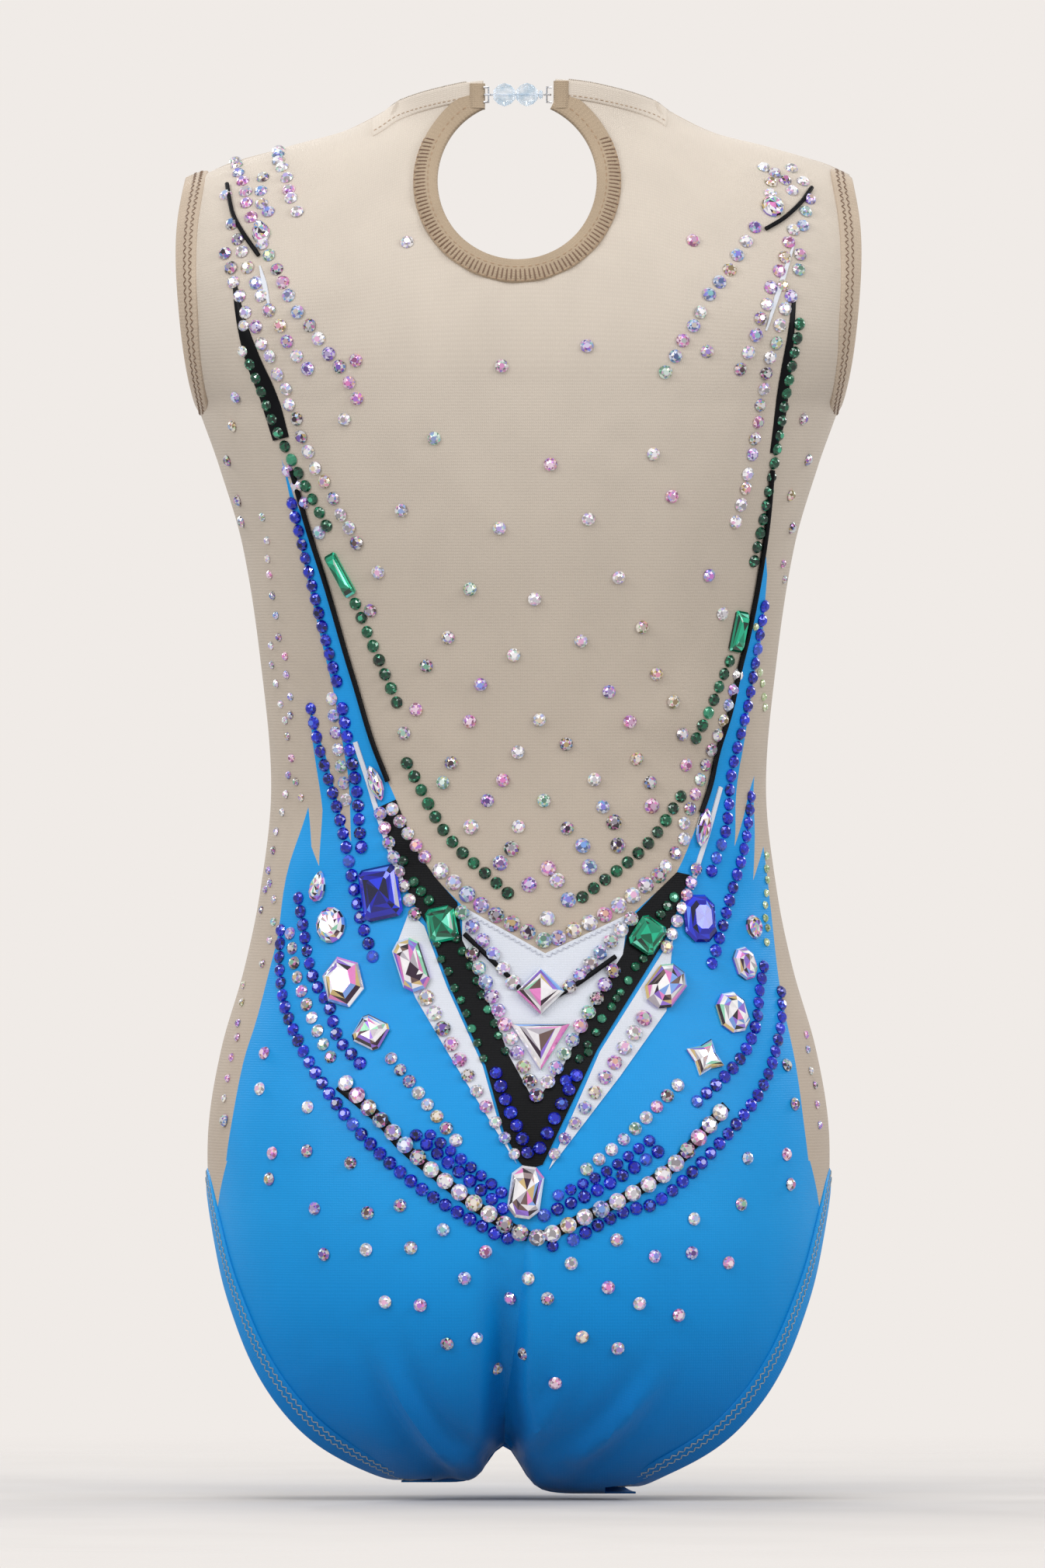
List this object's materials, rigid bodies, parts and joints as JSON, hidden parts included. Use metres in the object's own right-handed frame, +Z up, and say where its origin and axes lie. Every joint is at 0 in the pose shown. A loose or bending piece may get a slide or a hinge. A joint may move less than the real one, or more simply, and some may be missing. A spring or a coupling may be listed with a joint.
{
  "type": "gymnastics leotard",
  "caption": "Sleeveless gymnastics leotard, filled as if worn, with mesh upper, blue seat, V appliques, rhinestones, keyhole back and a hinged bead closure.",
  "frame": {"origin": "under the middle of the garment as it stands filled, at the height of its lowest edge (the middle of the bottom of its bounding box)", "axes": "+Z up towards the neck, -Y towards the back of the garment, +Y towards the front, +X towards the right of the wearer"},
  "size_m": [0.2436, 0.164, 0.4991],
  "materials": {
    "nude_mesh": "sheer nude stretch mesh, matt",
    "blue_lycra": "royal to sky blue stretch lycra with a satin sheen",
    "lining": "soft matt lining",
    "nude_binding": "folded nude binding with brown overlock stitches",
    "elastic": "matt woven elastic",
    "white_lycra": "satin white lycra",
    "black_lycra": "satin black lycra",
    "crystal": "faceted crystal with an iridescent coating and a foiled back",
    "sapphire": "faceted sapphire blue glass with a foiled back",
    "emerald": "faceted emerald green glass with a foiled back",
    "bead_glass": "clear pale blue-grey faceted glass",
    "steel_findings": "small plain steel findings"
  },
  "bodies": {
    "garment": {"back_mesh_panel": "nude_mesh", "seat_panel_left": "blue_lycra", "seat_panel_right": "blue_lycra", "front_mesh_panel": "nude_mesh", "front_panel": "blue_lycra", "crotch_gusset": "blue_lycra", "gusset_lining": "lining", "keyhole_binding": "nude_binding", "keyhole_elastic": "elastic", "neck_binding": "nude_binding", "neck_elastic": "elastic", "armhole_binding_left": "nude_binding", "armhole_binding_right": "nude_binding", "armhole_elastic_left": "elastic", "armhole_elastic_right": "elastic", "leg_hem_left": "blue_lycra", "leg_hem_right": "blue_lycra", "leg_elastic_left": "elastic", "leg_elastic_right": "elastic", "black_v_band": "black_lycra", "white_insert": "white_lycra", "white_stripe_left": "white_lycra", "white_stripe_right": "white_lycra", "chevron_cord": "black_lycra", "black_cord_left": "black_lycra", "black_cord_right": "black_lycra", "shoulder_cord_left": "black_lycra", "shoulder_cord_right": "black_lycra", "black_strap_left": "black_lycra", "black_strap_right": "black_lycra", "arc_band_left": "black_lycra", "arc_band_right": "black_lycra", "front_strap_left": "black_lycra", "front_strap_right": "black_lycra", "front_v_band": "black_lycra", "stone_square": "crystal", "stone_triangle": "crystal", "stone_v_tip": "crystal", "stone_emerald_left": "emerald", "stone_emerald_right": "emerald", "stone_crystal_left": "crystal", "stone_crystal_right": "crystal", "stone_sapphire_left": "sapphire", "stone_sapphire_right": "sapphire", "stone_hex_left": "crystal", "stone_lilac_right": "crystal", "stone_star_right": "crystal", "stone_baguette_left": "emerald", "stone_baguette_right": "emerald", "shoulder_tape_left": "lining", "shoulder_tape_right": "lining", "care_label": "white_lycra", "anchor_bar": "steel_findings", "eye_bar": "steel_findings"},
    "strand": {"closure_core": "steel_findings", "closure_hook": "steel_findings"},
    "bead_left": {"bead_large_left": "bead_glass"},
    "bead_right": {"bead_large_right": "bead_glass"},
    "bead_end": {"bead_small": "bead_glass"}
  },
  "joints": [
    {"name": "strand_swing", "type": "hinge", "parent": "garment", "child": "strand", "pos_m": [-0.0106, -0.03179, 0.49499], "axis": [0, 0, 1], "range_deg": [-95, 0]},
    {"name": "bead_left_spin", "type": "hinge", "parent": "strand", "child": "bead_left", "pos_m": [-0.005, -0.03179, 0.49499], "axis": [1, 0, 0], "continuous": true},
    {"name": "bead_right_spin", "type": "hinge", "parent": "strand", "child": "bead_right", "pos_m": [0.003, -0.03179, 0.49499], "axis": [1, 0, 0], "continuous": true},
    {"name": "bead_end_spin", "type": "hinge", "parent": "strand", "child": "bead_end", "pos_m": [0.00785, -0.03179, 0.49499], "axis": [1, 0, 0], "continuous": true}
  ]
}
